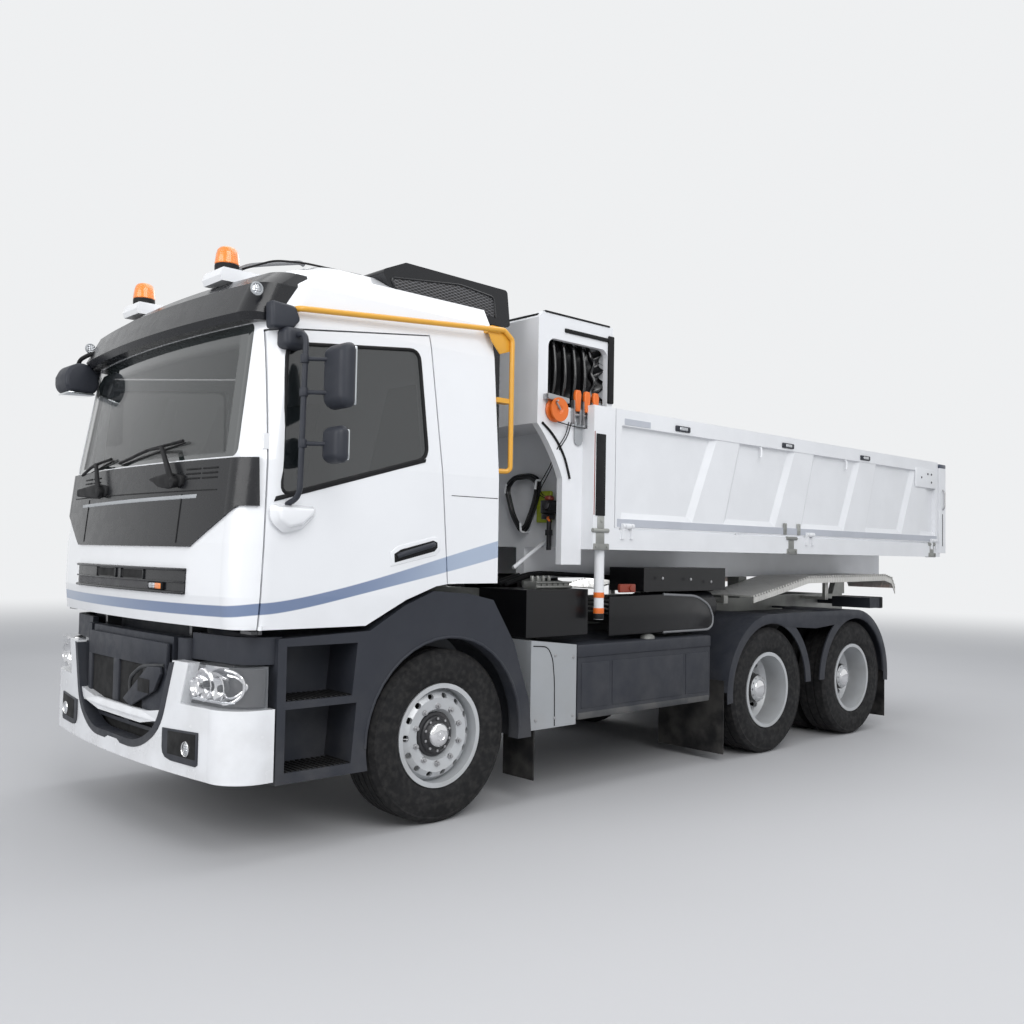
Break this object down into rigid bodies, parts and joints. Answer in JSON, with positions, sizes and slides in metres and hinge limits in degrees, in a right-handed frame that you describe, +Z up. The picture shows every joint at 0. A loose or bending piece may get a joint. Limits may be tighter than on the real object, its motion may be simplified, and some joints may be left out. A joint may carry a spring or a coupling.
{
  "type": "dump truck",
  "caption": "Three-axle tipping lorry with tilting cab, opening doors, steered front axle, twin-tyred bogie, hoisted bed with drop sides and swinging tailgate.",
  "frame": {"origin": "on the ground under the middle of the truck's bounding box", "axes": "+X forward, +Y to the truck's left, +Z up"},
  "size_m": [8.03, 3.13, 3.2699],
  "materials": {
    "body_white": "white gloss paint",
    "bed_white": "white satin paint",
    "frame_grey": "dark grey paint",
    "axle_black": "black chassis paint",
    "engine_grey": "painted casting",
    "dark_plastic": "grained dark grey plastic",
    "gloss_black": "black semi-gloss",
    "silver_grey": "silver-grey paint on plastic",
    "tank_aluminium": "brushed",
    "checker_aluminium": "checker plate",
    "lamp_clear": "clear lens over reflector",
    "lamp_red": "red lens",
    "beacon_amber": "amber lens",
    "tinted_glass": "tinted glass",
    "rail_yellow": "yellow paint",
    "interior_grey": "dark grey fabric and trim",
    "flap_rubber": "black rubber",
    "strap_rubber": "black rubber",
    "tyre": "tyre rubber",
    "rim_silver": "silver paint",
    "hoist_black": "black paint",
    "hoist_chrome": "hard chrome"
  },
  "bodies": {
    "chassis": {"chassis_frame": "frame_grey", "subframe": "frame_grey", "front_axle": "axle_black", "drive_axles": "axle_black", "powertrain": "engine_grey", "front_bumper": "body_white", "lower_grille": "dark_plastic", "front_lamps": "lamp_clear", "step_arches": "dark_plastic", "side_fairings": "silver_grey", "battery_box": "dark_plastic", "fuel_tank": "tank_aluminium", "air_system": "axle_black", "mudguards": "dark_plastic", "mudflaps": "flap_rubber", "deck_plates": "checker_aluminium", "rear_underrun": "frame_grey", "rear_lamps": "lamp_red"},
    "cab": {"cab_shell": "body_white", "windscreen": "tinted_glass", "front_mask": "gloss_black", "upper_grille": "gloss_black", "sun_visor": "gloss_black", "beacons": "beacon_amber", "roof_intake": "dark_plastic", "guard_rail": "rail_yellow", "cab_interior": "interior_grey"},
    "door_left": {"door_left": "body_white", "door_glass_left": "tinted_glass", "mirror_left": "dark_plastic"},
    "door_right": {"door_right": "body_white", "door_glass_right": "tinted_glass", "mirror_right": "dark_plastic"},
    "knuckle_left": {"knuckle_left": "axle_black"},
    "knuckle_right": {"knuckle_right": "axle_black"},
    "tie_rod": {"tie_rod": "axle_black"},
    "wheel_front_left": {"tyre_front_left": "tyre", "rim_front_left": "rim_silver"},
    "wheel_front_right": {"tyre_front_right": "tyre", "rim_front_right": "rim_silver"},
    "wheels_rear_1_left": {"tyres_rear_1_left": "tyre", "rims_rear_1_left": "rim_silver"},
    "wheels_rear_1_right": {"tyres_rear_1_right": "tyre", "rims_rear_1_right": "rim_silver"},
    "wheels_rear_2_left": {"tyres_rear_2_left": "tyre", "rims_rear_2_left": "rim_silver"},
    "wheels_rear_2_right": {"tyres_rear_2_right": "tyre", "rims_rear_2_right": "rim_silver"},
    "bed": {"bed_floor": "bed_white", "headboard": "bed_white", "load_straps": "strap_rubber"},
    "tailgate": {"tailgate": "bed_white"},
    "drop_side_left": {"drop_side_left": "bed_white"},
    "drop_side_right": {"drop_side_right": "bed_white"},
    "hoist_barrel": {"hoist_barrel": "hoist_black"},
    "hoist_stage_1": {"hoist_stage_1": "hoist_chrome"},
    "hoist_stage_2": {"hoist_stage_2": "hoist_chrome"},
    "hoist_stage_3": {"hoist_stage_3": "hoist_chrome"},
    "hoist_stage_4": {"hoist_stage_4": "hoist_chrome"}
  },
  "joints": [
    {"name": "cab_tilt", "type": "hinge", "parent": "chassis", "child": "cab", "pos_m": [3.795, 0, 0.8], "axis": [0, 1, 0], "range_deg": [0, 60]},
    {"name": "door_left_swing", "type": "hinge", "parent": "cab", "child": "door_left", "pos_m": [3.79, 1.24, 1.17], "axis": [0.0392, 0, -0.9992], "range_deg": [0, 72]},
    {"name": "door_right_swing", "type": "hinge", "parent": "cab", "child": "door_right", "pos_m": [3.79, -1.24, 1.17], "axis": [-0.0392, 0, 0.9992], "range_deg": [0, 72]},
    {"name": "steer_left", "type": "hinge", "parent": "chassis", "child": "knuckle_left", "pos_m": [2.555, 0.87, 0.505], "axis": [0, 0, 1], "range_deg": [-36, 36]},
    {"name": "steer_right", "type": "hinge", "parent": "chassis", "child": "knuckle_right", "pos_m": [2.555, -0.87, 0.505], "axis": [0, 0, 1], "range_deg": [-36, 36]},
    {"name": "tie_rod_pivot", "type": "hinge", "parent": "knuckle_left", "child": "tie_rod", "pos_m": [2.385, 0.87, 0.341], "axis": [0, 0, 1], "range_deg": [-36, 36]},
    {"name": "roll_front_left", "type": "hinge", "parent": "knuckle_left", "child": "wheel_front_left", "pos_m": [2.555, 1.03, 0.505], "axis": [0, 1, 0], "continuous": true},
    {"name": "roll_front_right", "type": "hinge", "parent": "knuckle_right", "child": "wheel_front_right", "pos_m": [2.555, -1.03, 0.505], "axis": [0, 1, 0], "continuous": true},
    {"name": "roll_rear_1_left", "type": "hinge", "parent": "chassis", "child": "wheels_rear_1_left", "pos_m": [-0.815, 1.082, 0.505], "axis": [0, 1, 0], "continuous": true},
    {"name": "roll_rear_1_right", "type": "hinge", "parent": "chassis", "child": "wheels_rear_1_right", "pos_m": [-0.815, -1.082, 0.505], "axis": [0, 1, 0], "continuous": true},
    {"name": "roll_rear_2_left", "type": "hinge", "parent": "chassis", "child": "wheels_rear_2_left", "pos_m": [-2.185, 1.082, 0.505], "axis": [0, 1, 0], "continuous": true},
    {"name": "roll_rear_2_right", "type": "hinge", "parent": "chassis", "child": "wheels_rear_2_right", "pos_m": [-2.185, -1.082, 0.505], "axis": [0, 1, 0], "continuous": true},
    {"name": "bed_tip", "type": "hinge", "parent": "chassis", "child": "bed", "pos_m": [-3.445, 0, 1.45], "axis": [0, -1, 0], "range_deg": [0, 50]},
    {"name": "tailgate_swing", "type": "hinge", "parent": "bed", "child": "tailgate", "pos_m": [-3.955, 0, 2.47], "axis": [0, 1, 0], "range_deg": [0, 60]},
    {"name": "drop_side_left_fold", "type": "hinge", "parent": "bed", "child": "drop_side_left", "pos_m": [0, 1.262, 1.772], "axis": [-1, 0, 0], "range_deg": [0, 170]},
    {"name": "drop_side_right_fold", "type": "hinge", "parent": "bed", "child": "drop_side_right", "pos_m": [0, -1.262, 1.772], "axis": [1, 0, 0], "range_deg": [0, 170]},
    {"name": "hoist_lean", "type": "hinge", "parent": "chassis", "child": "hoist_barrel", "pos_m": [-0.945, 0, 1.115], "axis": [0, -1, 0], "range_deg": [0, 21.98]},
    {"name": "hoist_extend_1", "type": "slide", "parent": "hoist_barrel", "child": "hoist_stage_1", "axis": [0, 0, 1], "range_m": [0, 0.52057]},
    {"name": "hoist_extend_2", "type": "slide", "parent": "hoist_stage_1", "child": "hoist_stage_2", "axis": [0, 0, 1], "range_m": [0, 0.52057]},
    {"name": "hoist_extend_3", "type": "slide", "parent": "hoist_stage_2", "child": "hoist_stage_3", "axis": [0, 0, 1], "range_m": [0, 0.52057]},
    {"name": "hoist_extend_4", "type": "slide", "parent": "hoist_stage_3", "child": "hoist_stage_4", "axis": [0, 0, 1], "range_m": [0, 0.52057]}
  ],
  "couplings": [
    {"joint": "steer_right", "follows": "steer_left", "ratio": 1},
    {"joint": "tie_rod_pivot", "follows": "steer_left", "ratio": -1},
    {"joint": "hoist_lean", "follows": "bed_tip", "ratio": 0.43962},
    {"joint": "hoist_extend_1", "follows": "bed_tip", "m_per_rad": 0.59653},
    {"joint": "hoist_extend_2", "follows": "bed_tip", "m_per_rad": 0.59653},
    {"joint": "hoist_extend_3", "follows": "bed_tip", "m_per_rad": 0.59653},
    {"joint": "hoist_extend_4", "follows": "bed_tip", "m_per_rad": 0.59653}
  ]
}
